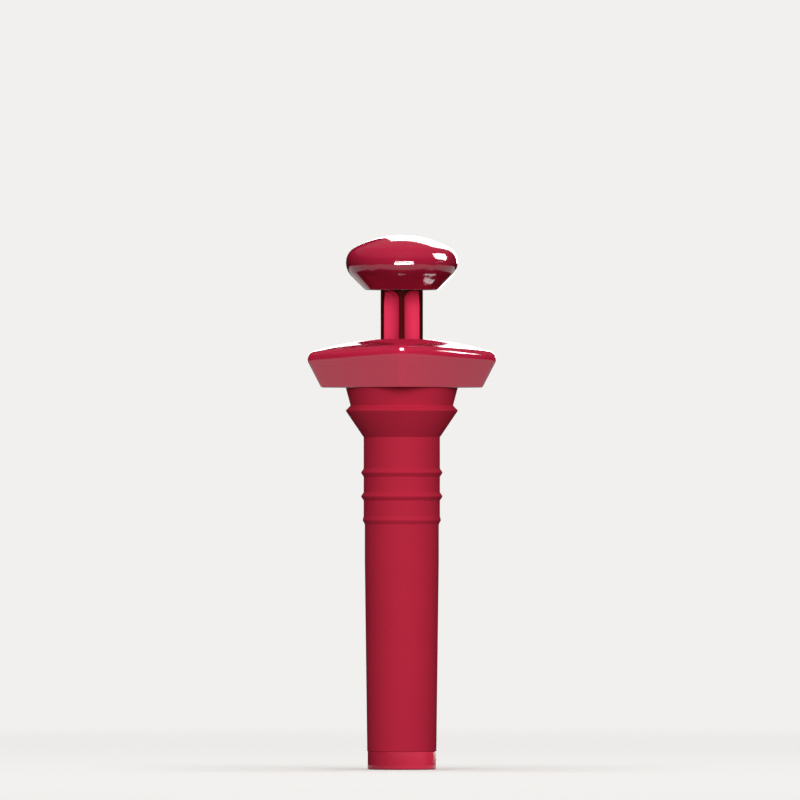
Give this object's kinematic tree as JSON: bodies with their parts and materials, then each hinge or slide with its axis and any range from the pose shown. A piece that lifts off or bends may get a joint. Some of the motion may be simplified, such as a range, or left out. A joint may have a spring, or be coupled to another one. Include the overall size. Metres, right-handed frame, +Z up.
{
  "type": "wine vacuum pump",
  "caption": "Hand pump that is also the bottle's stopper: round push knob, fluted rod, diamond-shaped collar and a long rubber-sleeved barrel with a sealing cone, ribs and an inlet valve.",
  "frame": {"origin": "on the pump's axis, in the plane of the bottle's mouth, where the foot of the rubber cone meets the glass", "axes": "+Z up along the pump's axis, towards the knob; X along the collar's long diagonal; Y along its short one, with the pictured side towards -Y"},
  "size_m": [0.0452, 0.0396, 0.1281],
  "materials": {
    "knob_plastic": "glossy moulded red ABS",
    "collar_plastic": "glossy moulded red ABS",
    "rod_plastic": "semi-gloss moulded red plastic",
    "cap_plastic": "glossy moulded red ABS",
    "sleeve_rubber": "satin red silicone rubber",
    "barrel_plastic": "natural polypropylene",
    "inner_plastic": "natural acetal",
    "seal_rubber": "black nitrile rubber",
    "screw_steel": "zinc-plated steel",
    "spring_steel": "bright spring steel"
  },
  "bodies": {
    "pump_body": {"collar_lid": "collar_plastic", "collar_bowl": "collar_plastic", "collar_screws": "screw_steel", "rod_guide": "inner_plastic", "barrel": "barrel_plastic", "sleeve_former": "inner_plastic", "stopper_sleeve": "sleeve_rubber", "end_cap": "cap_plastic", "seat_gasket": "seal_rubber", "valve_seat": "inner_plastic", "valve_cage": "inner_plastic", "valve_spring": "spring_steel"},
    "plunger": {"knob_cap": "knob_plastic", "knob_base": "knob_plastic", "knob_screw": "screw_steel", "plunger_rod": "rod_plastic", "piston_head": "inner_plastic", "piston_screw": "screw_steel", "stroke_bumper": "seal_rubber"},
    "piston_ring": {"piston_o_ring": "seal_rubber"},
    "inlet_valve": {"valve_disc": "seal_rubber"}
  },
  "joints": [
    {"name": "plunger_slide", "type": "slide", "parent": "pump_body", "child": "plunger", "axis": [0, 0, 1], "range_m": [-0.01145, 0.0552]},
    {"name": "piston_ring_float", "type": "slide", "parent": "plunger", "child": "piston_ring", "axis": [0, 0, 1], "range_m": [0, 0.00076]},
    {"name": "valve_lift", "type": "slide", "parent": "pump_body", "child": "inlet_valve", "axis": [0, 0, 1], "range_m": [0, 0.001], "stiffness_N_per_m": 20, "springref_m": -0.0008, "deforming": ["valve_spring"]}
  ]
}
